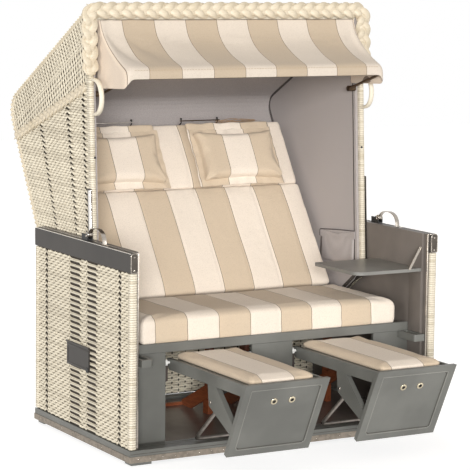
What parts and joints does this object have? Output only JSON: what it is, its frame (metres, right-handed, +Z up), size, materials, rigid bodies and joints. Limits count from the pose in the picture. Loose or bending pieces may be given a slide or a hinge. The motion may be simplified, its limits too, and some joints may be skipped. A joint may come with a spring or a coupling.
{
  "type": "hooded beach chair",
  "caption": "Hooded wicker beach chair: box base with arms, tilting hood, folding awning, pull-out footrests, side tray, cushions and neck pillows.",
  "frame": {"origin": "on the ground under the middle of the outer box", "axes": "+X to the right arm as a viewer in front sees it, +Y to the rear, +Z up"},
  "size_m": [1.2992, 1.5868, 1.6006],
  "materials": {
    "aluminium_strip": "dull strip",
    "black_plastic": "moulded",
    "brown_bow": "browned",
    "brown_wood": "oiled",
    "cream_braid": "braided strand, matt",
    "cream_wicker": "woven flat strand, matt",
    "dark_grey_paint": "boards painted dark grey, satin",
    "grey_lining": "plain woven lining",
    "grey_paint": "boards painted mid grey, satin",
    "polished_steel": "polished",
    "striped_cloth": "beige and cream stripes with thin dark lines",
    "white_nylon": "moulded nylon"
  },
  "bodies": {
    "base": {"arm_board_left": "grey_paint", "arm_board_right": "grey_paint", "arm_cap_left": "polished_steel", "arm_cap_right": "polished_steel", "arm_rail_left": "dark_grey_paint", "arm_rail_right": "dark_grey_paint", "base_floor": "grey_paint", "base_sill": "grey_paint", "base_strip": "aluminium_strip", "footrest_guide_left": "brown_wood", "footrest_guide_right": "brown_wood", "holder_left": "dark_grey_paint", "holder_right": "dark_grey_paint", "lock_bracket_left": "black_plastic", "lock_bracket_right": "black_plastic", "plank_centre": "grey_paint", "plank_left": "grey_paint", "plank_right": "grey_paint", "rear_rail": "dark_grey_paint", "rear_wicker": "cream_wicker", "seat_board": "brown_wood", "seat_cushion": "striped_cloth", "seat_front_rail": "grey_paint", "wicker_left": "cream_wicker", "wicker_right": "cream_wicker"},
    "hood": {"awning_cloth": "striped_cloth", "backrest_cushion": "striped_cloth", "hood_cover": "cream_wicker", "hood_post_left": "cream_braid", "hood_post_right": "cream_braid", "hood_side_left": "cream_wicker", "hood_side_right": "cream_wicker", "lining_back": "grey_lining", "lining_left": "grey_lining", "lining_right": "grey_lining", "lock_strip_left": "polished_steel", "lock_strip_right": "polished_steel", "loop_handle_left": "cream_braid", "loop_handle_right": "cream_braid", "neck_pillow_left": "striped_cloth", "neck_pillow_right": "striped_cloth", "rim_braid": "cream_braid", "side_pocket": "grey_lining"},
    "bow_body": {"awning_bow": "brown_bow"},
    "footrest_carriage_left": {"axle_left": "white_nylon"},
    "footrest_carriage_right": {"axle_right": "white_nylon"},
    "flap_left": {"carry_flap_left": "dark_grey_paint"},
    "flap_right": {"carry_flap_right": "dark_grey_paint"},
    "footrest_left": {"footrest_frame_left": "grey_paint", "footrest_pad_left": "striped_cloth", "footrest_panel_left": "grey_paint"},
    "footrest_right": {"footrest_frame_right": "grey_paint", "footrest_pad_right": "striped_cloth", "footrest_panel_right": "grey_paint"},
    "stay_left": {"footrest_stay_left": "polished_steel"},
    "stay_right": {"footrest_stay_right": "polished_steel"},
    "lock_bow_body_left": {"lock_bow_left": "polished_steel"},
    "lock_bow_body_right": {"lock_bow_right": "polished_steel"},
    "tray_body": {"tray": "dark_grey_paint"},
    "tray_stay_body": {"tray_stay": "polished_steel"}
  },
  "joints": [
    {"name": "hood_tilt", "type": "hinge", "parent": "base", "child": "hood", "pos_m": [0, 0.30023, 0.445], "axis": [-1, 0, 0], "range_deg": [0, 30]},
    {"name": "bow_fold", "type": "hinge", "parent": "hood", "child": "bow_body", "pos_m": [0, 0.10723, 1.271], "axis": [-1, 0, 0], "range_deg": [0, 60], "deforming": ["awning_cloth"]},
    {"name": "footrest_slide_left", "type": "slide", "parent": "base", "child": "footrest_carriage_left", "axis": [0, 0.8982, -0.4397], "range_m": [0, 0.542]},
    {"name": "footrest_tilt_left", "type": "hinge", "parent": "footrest_carriage_left", "child": "footrest_left", "pos_m": [-0.2635, -0.22477, 0.33], "axis": [1, 0, 0], "range_deg": [-27, 0]},
    {"name": "stay_fold_left", "type": "hinge", "parent": "footrest_left", "child": "stay_left", "pos_m": [-0.2635, -0.52677, 0.242], "axis": [1, 0, 0], "range_deg": [0, 48]},
    {"name": "lock_bow_lift_left", "type": "hinge", "parent": "base", "child": "lock_bow_body_left", "pos_m": [-0.624, 0.01723, 0.768], "axis": [-1, 0, 0], "range_deg": [0, 40]},
    {"name": "flap_swing_left", "type": "hinge", "parent": "base", "child": "flap_left", "pos_m": [-0.6458, -0.02977, 0.364], "axis": [0, 1, 0], "range_deg": [0, 85]},
    {"name": "footrest_slide_right", "type": "slide", "parent": "base", "child": "footrest_carriage_right", "axis": [0, 0.8982, -0.4397], "range_m": [0, 0.542]},
    {"name": "footrest_tilt_right", "type": "hinge", "parent": "footrest_carriage_right", "child": "footrest_right", "pos_m": [0.2635, -0.22477, 0.33], "axis": [1, 0, 0], "range_deg": [-27, 0]},
    {"name": "stay_fold_right", "type": "hinge", "parent": "footrest_right", "child": "stay_right", "pos_m": [0.2635, -0.52677, 0.242], "axis": [1, 0, 0], "range_deg": [0, 48]},
    {"name": "lock_bow_lift_right", "type": "hinge", "parent": "base", "child": "lock_bow_body_right", "pos_m": [0.624, 0.01723, 0.768], "axis": [-1, 0, 0], "range_deg": [0, 40]},
    {"name": "flap_swing_right", "type": "hinge", "parent": "base", "child": "flap_right", "pos_m": [0.6458, -0.02977, 0.364], "axis": [0, -1, 0], "range_deg": [0, 85]},
    {"name": "tray_fold", "type": "hinge", "parent": "base", "child": "tray_body", "pos_m": [0.5886, -0.31877, 0.622], "axis": [0, 1, 0], "range_deg": [0, 90]},
    {"name": "tray_stay_swing", "type": "hinge", "parent": "base", "child": "tray_stay_body", "pos_m": [0.5885, -0.31877, 0.7], "axis": [0, 1, 0], "range_deg": [-30, 0]}
  ],
  "couplings": [
    {"joint": "footrest_tilt_left", "follows": "footrest_slide_left", "rad_per_m": -0.84656},
    {"joint": "stay_fold_left", "follows": "footrest_slide_left", "rad_per_m": 1.529},
    {"joint": "footrest_tilt_right", "follows": "footrest_slide_right", "rad_per_m": -0.84656},
    {"joint": "stay_fold_right", "follows": "footrest_slide_right", "rad_per_m": 1.529},
    {"joint": "tray_stay_swing", "follows": "tray_fold", "ratio": -0.32}
  ]
}
